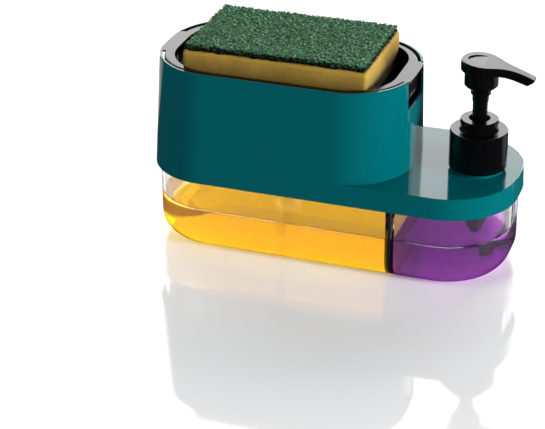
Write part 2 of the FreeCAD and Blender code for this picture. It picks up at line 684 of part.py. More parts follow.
def hand_collar():
    """Waisted collar that traps the closure and leads the stem."""
    low = HAND_FLANGE_TOP_Z
    seat = CLOSURE_TOP_Z + FLAT_GAP
    waist = seat + COLLAR_WAIST_HEIGHT
    ledge = seat + COLLAR_LEDGE_HEIGHT
    return turned(HAND_X, [
        (COLLAR_WAIST_R - COLLAR_WALL, low), (COLLAR_WAIST_R, low), (COLLAR_WAIST_R, seat),
        (COLLAR_FLARE_R, seat), (COLLAR_WAIST_R, waist), (COLLAR_WAIST_R, ledge),
        (COLLAR_R, ledge + COLLAR_R - COLLAR_WAIST_R), (COLLAR_R, COLLAR_TOP_Z - EDGE_BREAK),
        (COLLAR_R - EDGE_BREAK, COLLAR_TOP_Z), (COLLAR_HOLE_R, COLLAR_TOP_Z),
        (COLLAR_HOLE_R, COLLAR_TOP_Z - COLLAR_TOP),
        (COLLAR_WAIST_R - COLLAR_WALL, COLLAR_TOP_Z - COLLAR_TOP)])


def hand_piston():
    """Piston seal, free to turn on the stem."""
    return tube(HAND_X, HAND_BORE_R - RUNNING_FIT, STEM_R + RUNNING_FIT, HAND_PISTON_Z + FLAT_GAP,
                HAND_PISTON_Z + HAND_PISTON_LENGTH)


def hand_stem():
    """Hollow stem with a foot under the piston and a ring under the head."""
    top = HEAD_UNDER_Z - STEM_TOP_GAP
    ring_top = STEM_RING_Z + STEM_RING
    return turned(HAND_X, [
        (STEM_BORE_R, STEM_FOOT_Z), (STEM_FOOT_R, STEM_FOOT_Z), (STEM_FOOT_R, HAND_PISTON_Z),
        (STEM_R, HAND_PISTON_Z), (STEM_R, STEM_STEP_Z), (STEM_STEP_R, STEM_STEP_Z),
        (STEM_STEP_R, STEM_RING_Z), (STEM_RING_R, STEM_RING_Z), (STEM_RING_R, ring_top),
        (STEM_STEP_R, ring_top), (STEM_STEP_R, top), (STEM_BORE_R, top)])


def spline(points, start=None, end=None):
    """Smooth edge through points, leaving and arriving along given ways."""
    curve = Part.BSplineCurve()
    if start is None:
        curve.interpolate(points)
    else:
        curve.interpolate(Points=points, InitialTangent=start, FinalTangent=end)
    return curve.toShape()


def head_plan():
    """Teardrop seen from above: round over the hub, narrowing to the spout."""
    flank = math.radians(HEAD_FLANK)
    near = V(HAND_X + HEAD_R * math.cos(flank), -HEAD_R * math.sin(flank), HEAD_HUB_Z)
    far = V(near.x, -near.y, HEAD_HUB_Z)
    back = Part.Arc(far, V(HAND_X - HEAD_R, 0, HEAD_HUB_Z), near).toShape()
    tip_x = HAND_X + SPOUT_REACH + SPOUT_CUT_BACK
    neck = V(HAND_X + SPOUT_NECK_X, -SPOUT_NECK_HALF, HEAD_HUB_Z)
    tip = V(tip_x, -SPOUT_HALF_WIDTH, HEAD_HUB_Z)
    leaving = V(math.sin(flank), math.cos(flank), 0) * HEAD_R
    side = spline([near, neck, tip], leaving, tip - neck)
    other_side = side.mirror(V(0, 0, 0), V(0, 1, 0))
    end = Part.LineSegment(tip, V(tip_x, SPOUT_HALF_WIDTH, HEAD_HUB_Z)).toShape()
    return Part.Wire(Part.__sortEdges__([back, side, end, other_side]))


def head_profile():
    """Side view of the head and its drooping spout, from the tail round to the tip."""
    y = -2 * HEAD_R
    tail = HAND_X - 2 * HEAD_R
    neck_x = HAND_X + SPOUT_NECK_X
    tip = V(HAND_X + SPOUT_REACH, y, HEAD_TOP_Z - SPOUT_DROP)
    lip = tip - V(SPOUT_CUT_BACK, 0, SPOUT_CUT_DOWN)
    tail_top = V(tail, y, HEAD_TOP_Z + HEAD_RISE)
    crown = [tail_top, V(HAND_X, y, HEAD_TOP_Z), V(neck_x, y, HEAD_TOP_Z - SPOUT_NECK_DROP), tip]
    hub_end = V(HAND_X + SPOUT_ROOT_X, y, HEAD_UNDER_Z)
    neck_under = V(neck_x, y, HEAD_TOP_Z - SPOUT_NECK_DROP - SPOUT_NECK_DEPTH)
    belly = spline([lip, neck_under, hub_end], (neck_under - lip), V(-SPOUT_NECK_X, 0, 0))
    foot = V(tail, y, HEAD_UNDER_Z)
    sides = [Part.LineSegment(start, end).toShape()
             for start, end in ((tip, lip), (hub_end, foot), (foot, tail_top))]
    return Part.Wire([spline(crown), sides[0], belly, sides[1], sides[2]])


def head_block():
    """Head and spout with rounded edges, before the hub and the bores."""
    plan = prism(head_plan(), 2 * (HEAD_TOP_Z - HEAD_HUB_Z))
    block = plan.common(Part.Face(head_profile()).extrude(V(0, 4 * HEAD_R, 0))).Solids[0]
    sharp = []
    for edge in block.Edges:
        straight = edge.Curve.TypeId == "Part::GeomLine"
        if not straight or edge.BoundBox.XMin > HAND_X + SPOUT_NECK_X:
            sharp.append(edge)
    return block.makeFillet(HEAD_ROUND, sharp)


def head_duct():
    """Way for the soap from the stem up, along the spout and out at its mouth."""
    corner = V(HAND_X, 0, HEAD_UNDER_Z + SPOUT_BORE_R)
    bend = V(HAND_X + SPOUT_NECK_X, 0, HEAD_TOP_Z - SPOUT_NECK_DROP - SPOUT_NECK_DEPTH / 2)
    mouth = V(HAND_X + SPOUT_REACH - SPOUT_CUT_BACK / 2, 0, HEAD_TOP_Z - SPOUT_DROP - SPOUT_CUT_DOWN / 2)
    out = mouth + (mouth - bend).normalize() * SPOUT_CUT_BACK
    duct = rod(HAND_X, SPOUT_BORE_R, HEAD_UNDER_Z, corner.z)
    for start, end in ((corner, bend), (bend, out)):
        run = end - start
        duct = duct.fuse(Part.makeCylinder(SPOUT_BORE_R, run.Length, start, run))
        duct = duct.fuse(Part.makeSphere(SPOUT_BORE_R, start))
    return duct


def pump_head():
    """Teardrop head on a hub, with a shallow oval dish on top and a bored spout."""
    top_of_hub = HEAD_UNDER_Z + HEAD_ROUND
    hub = turned(HAND_X, [(0, HEAD_HUB_Z), (HEAD_HUB_R - HUB_BEVEL, HEAD_HUB_Z),
                          (HEAD_HUB_R, HEAD_HUB_Z + HUB_BEVEL), (HEAD_HUB_R, top_of_hub), (0, top_of_hub)])
    dish = Part.Ellipse(V(HAND_X, 0, HEAD_TOP_Z - DISH_DEPTH), DISH_LENGTH / 2, DISH_WIDTH / 2)
    head = head_block().fuse(hub).cut(prism(Part.Wire(dish.toShape()), HEAD_THICKNESS))
    return head.cut(rod(HAND_X, STEM_STEP_R + RUNNING_FIT, HEAD_HUB_Z, HEAD_UNDER_Z)).cut(head_duct())


PIECES = {
    "left_chamber": left_chamber,
    "right_chamber": right_chamber,
    "divider_seal": divider_seal,
    "dish_soap": dish_soap,
    "hand_soap": hand_soap,
    "cover_shell": cover_shell,
    "press_housing": press_housing,
    "press_gasket": press_gasket,
    "press_retainer": press_retainer,
    "press_ball": press_ball,
    "press_dip_tube": press_dip_tube,
    "press_spring": press_spring,
    "press_stem": press_stem,
    "press_piston": press_piston,
    "sponge_tray": sponge_tray,
    "sponge_foam": sponge_foam,
    "scouring_pad": scouring_pad,
    "hand_housing": hand_housing,
    "hand_gasket": hand_gasket,
    "hand_ball": hand_ball,
    "hand_dip_tube": hand_dip_tube,
    "hand_spring": hand_spring,
    "hand_closure": hand_closure,
    "hand_collar": hand_collar,
    "hand_piston": hand_piston,
    "hand_stem": hand_stem,
    "pump_head": pump_head,
}


def main():
    os.makedirs("parts", exist_ok=True)
    for name, make in PIECES.items():
        shape = make()
        print(name, shape.ShapeType, "solids", len(shape.Solids), "valid", shape.isValid(),
              "volume", round(shape.Volume, 1))
        shape.exportStep("parts/" + name + ".step")


if __name__ == "__main__":
    main()
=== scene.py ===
import json
import math

import bmesh
import bpy
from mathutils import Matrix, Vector, noise


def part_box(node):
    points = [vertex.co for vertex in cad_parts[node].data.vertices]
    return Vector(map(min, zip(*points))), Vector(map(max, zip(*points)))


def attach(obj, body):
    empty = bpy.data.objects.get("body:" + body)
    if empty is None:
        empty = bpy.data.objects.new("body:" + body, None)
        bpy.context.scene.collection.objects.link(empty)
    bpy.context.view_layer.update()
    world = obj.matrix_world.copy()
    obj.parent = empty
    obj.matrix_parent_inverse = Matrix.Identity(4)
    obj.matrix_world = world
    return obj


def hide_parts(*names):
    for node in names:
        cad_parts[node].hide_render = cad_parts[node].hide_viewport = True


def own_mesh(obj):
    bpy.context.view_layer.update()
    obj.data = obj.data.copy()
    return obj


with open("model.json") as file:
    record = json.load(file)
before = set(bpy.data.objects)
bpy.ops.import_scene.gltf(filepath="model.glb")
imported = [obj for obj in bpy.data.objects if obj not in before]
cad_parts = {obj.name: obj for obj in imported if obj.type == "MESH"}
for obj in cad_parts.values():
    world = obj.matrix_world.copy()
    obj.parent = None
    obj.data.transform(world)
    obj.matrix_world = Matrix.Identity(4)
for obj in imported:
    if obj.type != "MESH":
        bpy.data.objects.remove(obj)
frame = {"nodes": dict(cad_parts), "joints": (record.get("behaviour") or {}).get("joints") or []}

bl_info = {
    "name": "Soap Pump Caddy",
    "version": (1, 0, 0),
    "blender": (4, 5, 0),
    "location": "View3D > Sidebar > Caddy",
    "description": "Dresses the packed soap pump caddy and sets up its studio",
    "category": "Object",
}

NODES = frame["nodes"]
WHITE = (1.0, 1.0, 1.0)
SAME_PLACE = 1e-6
SEED = 7

# Soap: steps round its corners and along its lower edge, and where the rings of its meniscus lie
CORNER_STEPS = 24
EDGE_STEPS = 12
MENISCUS_RINGS = (0.0, 0.0004, 0.0009, 0.0016, 0.0026, 0.004, 0.006)
SHARP_ANGLE = math.radians(40)

# Clear faces this near to the divider don't bend light: soap past its skin, and plastic
SOAP_JOIN = 0.0001
WALL_JOIN = 0.0016

# Foam: the slow swell of its faces, the share of a cell that its pit takes, and where its painted shade
# starts
SWELL_HEIGHT = 0.0004
SWELL_RATE = 55.0
PIT_SHARE = 0.55
PAINTED_SHADE_FROM = 1 / 3

# Pad: how far its clumps curl, how fast they fall, how deep they sink, and how ragged its faces are
CLUMP_CURL = 0.5
CLUMP_FALL = 1.5
CLUMP_SINK = 0.35
RAGGED_HEIGHT = 0.0004
RAGGED_SPACING = 0.006
RAGGED_START = Vector((5, 2, 1))

# Fibres: one in so many stands on a side, how they lift and bend, and their three-cornered section
SIDE_EVERY = 5
FIBRE_LIFT = 0.25
FIBRE_BEND = 0.5
FIBRE_ARCH = 0.35
FIBRE_STEPS = 3
FIBRE_SECTION = ((1.0, 0.0), (-0.5, 0.87), (-0.5, -0.87))

# Softboxes, and the bounce cards under the floor
BACKDROP = {"at": (-0.4, 1.7, 0.81), "aim": (0.0, 0.0, 0.1), "size": (3.4, 1.75)}
FILL = {"at": (-1.0, -1.0, 1.2), "aim": (0.0, 0.0, 0.06), "size": (0.9, 0.9)}
RIGHT = {"at": (2.1, -0.55, 0.47), "aim": (0.05, 0.0, 0.06), "size": (0.8, 0.8)}
CARD_Z = -0.002
LEFT_CARD = (Vector((-3.0, 0.1, CARD_Z)), Vector((-0.11, 4.0, CARD_Z)))
RIGHT_CARD = (Vector((0.17, 0.08, CARD_Z)), Vector((3.0, 4.0, CARD_Z)))
FLOOR_PARTS = 8
SENSOR_WIDTH = 36
CLIP_START = 0.01


class CaddyColours(bpy.types.PropertyGroup):
    """Colours of the finishes, in linear light."""

    teal_dark: bpy.props.FloatVectorProperty(
        name="Teal, dark", description="Cover where its plastic is darkest",
        default=(0.0, 0.085, 0.098), min=0.0, max=1.0, subtype="COLOR")
    teal_light: bpy.props.FloatVectorProperty(
        name="Teal, light", description="Cover where its plastic is lightest",
        default=(0.0, 0.092, 0.105), min=0.0, max=1.0, subtype="COLOR")
    teal_gloss: bpy.props.FloatVectorProperty(
        name="Teal gloss", description="Tint of what the cover mirrors",
        default=(0.9, 1.0, 0.95), min=0.0, max=1.0, subtype="COLOR")
    tray_dark: bpy.props.FloatVectorProperty(
        name="Tray, dark", description="Tray where its plastic is darkest",
        default=(0.003, 0.003, 0.003), min=0.0, max=1.0, subtype="COLOR")
    tray_light: bpy.props.FloatVectorProperty(
        name="Tray, light", description="Tray where its plastic is lightest",
        default=(0.005, 0.005, 0.005), min=0.0, max=1.0, subtype="COLOR")
    pump_dark: bpy.props.FloatVectorProperty(
        name="Pump, dark", description="Hand pump where its plastic is darkest",
        default=(0.0012, 0.0012, 0.0015), min=0.0, max=1.0, subtype="COLOR")
    pump_light: bpy.props.FloatVectorProperty(
        name="Pump, light", description="Hand pump where its plastic is lightest",
        default=(0.002, 0.002, 0.0024), min=0.0, max=1.0, subtype="COLOR")
    seal: bpy.props.FloatVectorProperty(
        name="Seal", description="Rubber between the chambers",
        default=(0.008, 0.008, 0.008), min=0.0, max=1.0, subtype="COLOR")
    gasket: bpy.props.FloatVectorProperty(
        name="Gasket", description="Rubber of the gaskets and pistons",
        default=(0.05, 0.05, 0.05), min=0.0, max=1.0, subtype="COLOR")
    amber_tint: bpy.props.FloatVectorProperty(
        name="Amber tint", description="Tint at the dish soap's surface",
        default=(1.0, 0.97, 0.8), min=0.0, max=1.0, subtype="COLOR")
    amber_body: bpy.props.FloatVectorProperty(
        name="Amber body", description="Light that the dish soap lets through",
        default=(0.978, 0.932, 0.1), min=0.0, max=1.0, subtype="COLOR")
    amber_shadow: bpy.props.FloatVectorProperty(
        name="Amber shadow", description="Tint of the lamps' light behind the dish soap",
        default=(0.6, 0.56, 0.04), min=0.0, max=1.0, subtype="COLOR")
    # Painted glow: emission that stands in for the light that the dish soap scatters
    amber_painted_glow: bpy.props.FloatVectorProperty(
        name="Amber glow", description="Light that the dish soap scatters",
        default=(0.1, 0.058, 0.0), min=0.0, max=1.0, subtype="COLOR")
    purple_tint: bpy.props.FloatVectorProperty(
        name="Purple tint", description="Tint at the hand soap's surface",
        default=(0.97, 0.9, 1.0), min=0.0, max=1.0, subtype="COLOR")
    purple_body: bpy.props.FloatVectorProperty(
        name="Purple body", description="Light that the hand soap lets through",
        default=(0.65, 0.03, 0.7), min=0.0, max=1.0, subtype="COLOR")
    purple_shadow: bpy.props.FloatVectorProperty(
        name="Purple shadow", description="Tint of the lamps' light behind the hand soap",
        default=(0.45, 0.14, 0.52), min=0.0, max=1.0, subtype="COLOR")
    # Painted glow: emission that stands in for the light that the hand soap scatters
    purple_painted_glow: bpy.props.FloatVectorProperty(
        name="Purple glow", description="Light that the hand soap scatters",
        default=(0.008, 0.0, 0.011), min=0.0, max=1.0, subtype="COLOR")
    foam_dark: bpy.props.FloatVectorProperty(
        name="Foam, dark", description="Darkest mottling of the foam",
        default=(0.31, 0.19, 0.026), min=0.0, max=1.0, subtype="COLOR")
    foam: bpy.props.FloatVectorProperty(
        name="Foam", description="Main colour of the foam",
        default=(0.36, 0.225, 0.034), min=0.0, max=1.0, subtype="COLOR")
    foam_light: bpy.props.FloatVectorProperty(
        name="Foam, light", description="Lightest mottling of the foam",
        default=(0.43, 0.28, 0.053), min=0.0, max=1.0, subtype="COLOR")
    fibre_dark: bpy.props.FloatVectorProperty(
        name="Fibre, dark", description="Scouring fibre deep in the pad",
        default=(0.018, 0.08, 0.035), min=0.0, max=1.0, subtype="COLOR")
    fibre: bpy.props.FloatVectorProperty(
        name="Fibre", description="Main colour of the scouring fibre",
        default=(0.08, 0.23, 0.11), min=0.0, max=1.0, subtype="COLOR")
    fibre_light: bpy.props.FloatVectorProperty(
        name="Fibre, light", description="Lightest scouring fibre",
        default=(0.31, 0.54, 0.34), min=0.0, max=1.0, subtype="COLOR")


class CaddySoapSettings(bpy.types.PropertyGroup):
    """Sizes of the soap bodies, and how strongly they colour light."""

    skin: bpy.props.FloatProperty(
        name="Skin", description="Clear plastic left outside the soap, thin because wet walls don't show",
        default=0.00015, unit="LENGTH", precision=5)
    edge: bpy.props.FloatProperty(
        name="Edge", description="Outer round along the chambers' lower edge",
        default=0.014, unit="LENGTH")
    left_corner: bpy.props.FloatProperty(
        name="Left corner", description="Plan radius of the sponge end",
        default=0.0331, unit="LENGTH")
    right_corner: bpy.props.FloatProperty(
        name="Right corner", description="Plan radius of the hand pump end",
        default=0.0361, unit="LENGTH")
    level: bpy.props.FloatProperty(
        name="Level", description="Height of the soap",
        default=0.026, unit="LENGTH")
    meniscus: bpy.props.FloatProperty(
        name="Meniscus", description="Climb of the soap at the walls",
        default=0.0002, unit="LENGTH", precision=5)
    meniscus_reach: bpy.props.FloatProperty(
        name="Meniscus reach", description="Distance over which the climb fades",
        default=0.001, unit="LENGTH", precision=5)
    amber_density: bpy.props.FloatProperty(
        name="Amber density", description="Strength of the dish soap's colour, per metre",
        default=200.0, min=0.0)
    purple_density: bpy.props.FloatProperty(
        name="Purple density", description="Strength of the hand soap's colour, per metre",
        default=75.0, min=0.0)


class CaddySpongeSettings(bpy.types.PropertyGroup):
    """Sizes and grain of the sponge."""

    foam_step: bpy.props.FloatProperty(
        name="Foam step", description="Spacing of the foam's mesh",
        default=0.0009, unit="LENGTH", precision=5)
    foam_round: bpy.props.FloatProperty(
        name="Foam round", description="Round along the foam's edges",
        default=0.0016, unit="LENGTH", precision=5)
    pore_depth: bpy.props.FloatProperty(
        name="Pore depth", description="Depth of the open cells",
        default=0.00012, unit="LENGTH", precision=5)
    pore_size: bpy.props.FloatProperty(
        name="Pore size", description="Spacing of the open cells",
        default=0.0017, unit="LENGTH", precision=5)
    pad_step: bpy.props.FloatProperty(
        name="Pad step", description="Spacing of the scouring pad's mesh",
        default=0.00042, unit="LENGTH", precision=5)
    pad_round: bpy.props.FloatProperty(
        name="Pad round", description="Round along the pad's edges",
        default=0.0012, unit="LENGTH", precision=5)
    clump_height: bpy.props.FloatProperty(
        name="Clump height", description="Height of the pad's matted clumps",
        default=0.0016, unit="LENGTH", precision=5)
    clump_size: bpy.props.FloatProperty(
        name="Clump size", description="Spacing of the pad's matted clumps",
        default=0.0016, unit="LENGTH", precision=5)
    fibres: bpy.props.IntProperty(
        name="Fibres", description="Loose fibres on the pad",
        default=4200, min=0)
    fibre_length: bpy.props.FloatProperty(
        name="Fibre length", description="Usual length of a loose fibre",
        default=0.0018, unit="LENGTH", precision=5)
    fibre_radius: bpy.props.FloatProperty(
        name="Fibre radius", description="Half thickness of a loose fibre",
        default=0.00009, unit="LENGTH", precision=5)


class CaddyStageSettings(bpy.types.PropertyGroup):
    """Camera, floor and lights."""

    lens: bpy.props.FloatProperty(
        name="Lens", description="Focal length on a 36 mm sensor",
        default=125.62, unit="CAMERA")
    camera_at: bpy.props.FloatVectorProperty(
        name="Camera", description="Place of the camera",
        default=(0.28144, -0.90116, 0.50619), subtype="TRANSLATION")
    camera_turn: bpy.props.FloatVectorProperty(
        name="Camera turn", description="Rotation of the camera",
        default=(math.radians(62.473), math.radians(0.366), math.radians(19.368)), subtype="EULER")
    floor_size: bpy.props.FloatProperty(
        name="Floor size", description="Half width of the floor",
        default=4.0, unit="LENGTH")
    floor_colour: bpy.props.FloatVectorProperty(
        name="Floor colour", description="Colour of the pale floor",
        default=(0.84, 0.84, 0.85), min=0.0, max=1.0, subtype="COLOR")
    floor_glow: bpy.props.FloatProperty(
        name="Floor glow", description="Radiance of the floor, which is lit from below",
        default=0.06)
    backdrop_power: bpy.props.FloatProperty(
        name="Backdrop", description="Power of the wide backdrop that shiny faces mirror",
        default=70.0, unit="POWER")
    fill_power: bpy.props.FloatProperty(
        name="Fill light", description="Power of the softbox at the front left",
        default=13.0, unit="POWER")
    right_power: bpy.props.FloatProperty(
        name="Right light", description="Power of the softbox at the hand pump end",
        default=92.0, unit="POWER")
    card_glow: bpy.props.FloatProperty(
        name="Bounce cards", description="Radiance of the cards that rim shiny faces",
        default=0.4)
    room: bpy.props.FloatProperty(
        name="Room", description="Radiance of the room",
        default=0.02)
    room_through_tank: bpy.props.FloatProperty(
        name="Room through tank", description="Radiance of the room seen through clear pieces",
        default=0.35)


def start_material(name):
    """New node material, with the tree that holds it and its shader."""
    made = bpy.data.materials.new(name)
    made.use_nodes = True
    return made, made.node_tree, made.node_tree.nodes["Principled BSDF"]


def set_inputs(node, values):
    """Sets a node's sockets by name or number, each to a value or to another node's output."""
    for key, value in values.items():
        if isinstance(value, bpy.types.NodeSocket):
            node.id_data.links.new(value, node.inputs[key])
        else:
            node.inputs[key].default_value = value


def reckon(tree, operation, *values):
    """Outcome of a sum on outputs and numbers."""
    made = tree.nodes.new("ShaderNodeMath")
    made.operation = operation
    set_inputs(made, dict(enumerate(values)))
    return made.outputs["Value"]


def place_on_object(tree):
    """The object's own coordinates."""
    return tree.nodes.new("ShaderNodeTexCoord").outputs["Object"]


def along(tree, vector, axis):
    """One coordinate of a vector."""
    split = tree.nodes.new("ShaderNodeSeparateXYZ")
    set_inputs(split, {"Vector": vector})
    return split.outputs[axis]


def texture(tree, kind, output, **values):
    """Procedural texture on the object's own coordinates."""
    made = tree.nodes.new(kind)
    set_inputs(made, {"Vector": place_on_object(tree), **values})
    return made.outputs[output]


def grain(tree, **values):
    """Noise from 0 to 1."""
    return texture(tree, "ShaderNodeTexNoise", "Fac", **values)


def ramp(tree, source, stops):
    """Colour ramp over a texture's value."""
    made = tree.nodes.new("ShaderNodeValToRGB")
    elements = made.color_ramp.elements
    while len(elements) < len(stops):
        elements.new(0.5)
    for element, (position, colour) in zip(elements, stops):
        element.position = position
        element.color = (*colour, 1.0)
    set_inputs(made, {"Fac": source})
    return made.outputs["Color"]


def spread(tree, source, low, high):
    """A value from 0 to 1 carried to a range."""
    made = tree.nodes.new("ShaderNodeMapRange")
    set_inputs(made, {"Value": source, "To Min": low, "To Max": high})
    return made.outputs["Result"]


def bump(tree, height, strength, distance, after=None):
    """Normal from a height, on top of another bump if there is one."""
    made = tree.nodes.new("ShaderNodeBump")
    set_inputs(made, {"Height": height, "Strength": strength, "Distance": distance})
    if after is not None:
        set_inputs(made, {"Normal": after})
    return made.outputs["Normal"]


def dimmed(tree, colour, measure, dark_at, full_at, least):
    """A colour that falls to a share of itself as a measure falls."""
    share = tree.nodes.new("ShaderNodeMapRange")
    set_inputs(share, {"Value": measure, "From Min": dark_at, "From Max": full_at,
                       "To Min": least, "To Max": 1.0})
    scaled = tree.nodes.new("ShaderNodeVectorMath")
    scaled.operation = "SCALE"
    set_inputs(scaled, {"Vector": colour, "Scale": share.outputs["Result"]})
    return scaled.outputs["Vector"]


def painted_shade_below(tree, colour, low, high, least):
    """A colour with painted shade that darkens it from a height down to a lower one."""
    return dimmed(tree, colour, along(tree, place_on_object(tree), "Z"), low, high, least)


def painted_light_on_top(tree, colour, least):
    """A colour with painted shade that darkens it where the surface turns away from straight up."""
    shape = tree.nodes.new("ShaderNodeNewGeometry")
    upward = along(tree, shape.outputs["Normal"], "Z")
    return dimmed(tree, colour, upward, dark_at=0.3, full_at=0.98, least=least)


def clear_where(tree, shader, share, tint=WHITE):
    """Lets a share of the rays straight through a surface."""
    clear = tree.nodes.new("ShaderNodeBsdfTransparent")
    set_inputs(clear, {"Color": (*tint, 1.0)})
    mix = tree.nodes.new("ShaderNodeMixShader")
    set_inputs(mix, {0: share, 1: shader.outputs["BSDF"], 2: clear.outputs["BSDF"]})
    set_inputs(tree.nodes["Material Output"], {"Surface": mix.outputs["Shader"]})


def lets_lamps_through(tree, shader, tint, joined=None):
    """Tints shadows, and lets all light straight through within joined of the divider's sides."""
    share = tree.nodes.new("ShaderNodeLightPath").outputs["Is Shadow Ray"]
    if joined is not None:
        low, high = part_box("divider_seal")
        reach = (high.x - low.x) / 2 + joined
        across = along(tree, place_on_object(tree), "X")
        near = reckon(tree, "COMPARE", across, (low.x + high.x) / 2, reach)
        share = reckon(tree, "MAXIMUM", share, near)
    clear_where(tree, shader, share, tint)


def hide_from_mirrors(tree, shader, when):
    """Lets mirror rays through if they crossed less (LESS_THAN) or more than half a clear face."""
    path = tree.nodes.new("ShaderNodeLightPath")
    crossed = reckon(tree, when, path.outputs["Transmission Depth"], 0.5)
    clear_where(tree, shader, reckon(tree, "MULTIPLY", path.outputs["Is Glossy Ray"], crossed))


def moulded(name, dark, light, rough, specular, gloss=WHITE):
    """Moulded plastic: slow drift of colour, uneven polish and a faint skin."""
    made, tree, shader = start_material(name)
    drift = grain(tree, Scale=9.0, Detail=3.0, Roughness=0.55)
    polish = grain(tree, Scale=55.0, Detail=4.0, Roughness=0.6)
    skin = grain(tree, Scale=900.0, Detail=2.0)
    set_inputs(shader, {
        "Base Color": ramp(tree, drift, ((0.3, dark), (0.7, light))),
        "Roughness": spread(tree, polish, *rough),
        "Normal": bump(tree, skin, strength=0.1, distance=0.00003),
        "Specular IOR Level": specular,
        "Specular Tint": (*gloss, 1.0),
    })
    return made


def clear_plastic(name):
    """Polished clear plastic with slightly uneven gloss."""
    made, tree, shader = start_material(name)
    polish = grain(tree, Scale=40.0, Detail=3.0)
    set_inputs(shader, {
        "Base Color": (0.98, 0.985, 0.98, 1.0),
        "Roughness": spread(tree, polish, 0.0, 0.035),
        "Transmission Weight": 1.0,
        "IOR": 1.47,
    })
    lets_lamps_through(tree, shader, (0.99, 0.99, 0.99), WALL_JOIN)
    return made


def soap(name, tint, absorbed, density, lamp_tint, glow, joined):
    """Clear coloured liquid, with a painted glow: emission that stands in for the light that it scatters.
    """
    made, tree, shader = start_material(name)
    swirl = grain(tree, Scale=30.0, Detail=2.0)
    set_inputs(shader, {
        "Base Color": (*tint, 1.0),
        "Roughness": 0.0,
        "Normal": bump(tree, swirl, strength=0.05, distance=0.0005),
        "Transmission Weight": 1.0,
        "IOR": 1.36,
        # Painted glow: the soap emits light though it is no lamp
        "Emission Color": (*glow, 1.0),
        "Emission Strength": 1.0,
    })
    body = tree.nodes.new("ShaderNodeVolumeAbsorption")
    set_inputs(body, {"Color": (*absorbed, 1.0), "Density": density})
    set_inputs(tree.nodes["Material Output"], {"Volume": body.outputs["Volume"]})
    lets_lamps_through(tree, shader, lamp_tint, joined)
    return made


def rubber(name, colour):
    """Dull rubber with a pale bloom."""
    made, tree, shader = start_material(name)
    bloom = grain(tree, Scale=320.0, Detail=4.0)
    pale = [1.8 * part + 0.004 for part in colour]
    set_inputs(shader, {
        "Base Color": ramp(tree, bloom, ((0.35, colour), (0.75, pale))),
        "Roughness": spread(tree, bloom, 0.45, 0.7),
        "Normal": bump(tree, bloom, strength=0.2, distance=0.0001),
    })
    return made


def steel(name):
    """Drawn steel of the springs and check balls."""
    made, tree, shader = start_material(name)
    drawn = grain(tree, Scale=700.0, Detail=3.0)
    set_inputs(shader, {
        "Base Color": ramp(tree, drawn, ((0.3, (0.45, 0.45, 0.46)), (0.7, (0.66, 0.66, 0.67)))),
        "Roughness": spread(tree, drawn, 0.18, 0.34),
        "Metallic": 1.0,
    })
    return made


def milky_plastic(name, clear, ior, rough, tone):
    """Unpigmented translucent plastic of the inner pump pieces."""
    made, tree, shader = start_material(name)
    cloud = grain(tree, Scale=60.0, Detail=3.0)
    set_inputs(shader, {
        "Base Color": ramp(tree, cloud, ((0.3, (tone - 0.05,) * 3), (0.7, (tone,) * 3))),
        "Roughness": spread(tree, cloud, *rough),
        "Transmission Weight": clear,
        "IOR": ior,
    })
    lets_lamps_through(tree, shader, (0.9, 0.9, 0.9))
    return made


def foam_material(name, colours, low, high):
    """Fine-celled foam: mottled yellow, with painted shade darkening it towards the tray."""
    made, tree, shader = start_material(name)
    mottle = grain(tree, Scale=120.0, Detail=6.0, Roughness=0.6)
    colour = ramp(tree, mottle, ((0.25, colours.foam_dark), (0.5, colours.foam), (0.8, colours.foam_light)))
    cells = texture(tree, "ShaderNodeTexVoronoi", "Distance", Scale=1500.0)
    fine = grain(tree, Scale=2400.0, Detail=3.0)
    pitted = bump(tree, cells, strength=0.3, distance=0.0003)
    set_inputs(shader, {
        # Painted shade: the foam's colour darkens towards the tray
        "Base Color": painted_shade_below(tree, colour, low, high, least=0.42),
        "Roughness": 0.9,
        "Normal": bump(tree, fine, strength=0.3, distance=0.0003, after=pitted),
        "Specular IOR Level": 0.15,
        "Subsurface Weight": 0.25,
        "Subsurface Scale": 0.003,
        "Sheen Weight": 0.15,
    })
    return made


def fibre_material(name, colours, low, high):
    """Matted green scouring fibre, with painted shade in its hollows and darkening it towards the pad's
    bottom.
    """
    made, tree, shader = start_material(name)
    mat = grain(tree, Scale=620.0, Detail=4.0, Roughness=0.6)
    colour = ramp(tree, mat, ((0.3, colours.fibre_dark), (0.5, colours.fibre), (0.72, colours.fibre_light)))
    # Painted shade: the pad's colour darkens towards its bottom, so its sides look shaded
    colour = painted_shade_below(tree, colour, low, high, least=0.12)
    fine = grain(tree, Scale=2600.0, Detail=3.0)
    set_inputs(shader, {
        # Painted light and shade: faces turned away from straight up are darker
        "Base Color": painted_light_on_top(tree, colour, least=0.08),
        "Roughness": 0.75,
        "Normal": bump(tree, fine, strength=0.6, distance=0.0004),
        "Specular IOR Level": 0.3,
    })
    return made


def floor_material(name, settings):
    """Pale polished floor, lit from below, that direct mirror rays don't see."""
    made, tree, shader = start_material(name)
    polish = grain(tree, Scale=3.0, Detail=2.0)
    set_inputs(shader, {
        "Base Color": (*settings.floor_colour, 1.0),
        "Roughness": spread(tree, polish, 0.03, 0.07),
        "Specular IOR Level": 0.62,
        "Emission Color": (*WHITE, 1.0),
        "Emission Strength": settings.floor_glow,
    })
    hide_from_mirrors(tree, shader, "LESS_THAN")
    return made


def card_material(name, brightness):
    """Slightly uneven glow that mirror rays from inside the tank don't see."""
    made, tree, shader = start_material(name)
    fade = grain(tree, Scale=2.0, Detail=1.0)
    set_inputs(shader, {
        "Base Color": (0.0, 0.0, 0.0, 1.0),
        "Emission Color": (*WHITE, 1.0),
        "Emission Strength": spread(tree, fade, 0.9 * brightness, 1.1 * brightness),
    })
    hide_from_mirrors(tree, shader, "GREATER_THAN")
    return made


def dress(made, *names):
    """Gives CAD nodes a material."""
    for name in names:
        mesh = NODES[name].data
        mesh.materials.clear()
        mesh.materials.append(made)


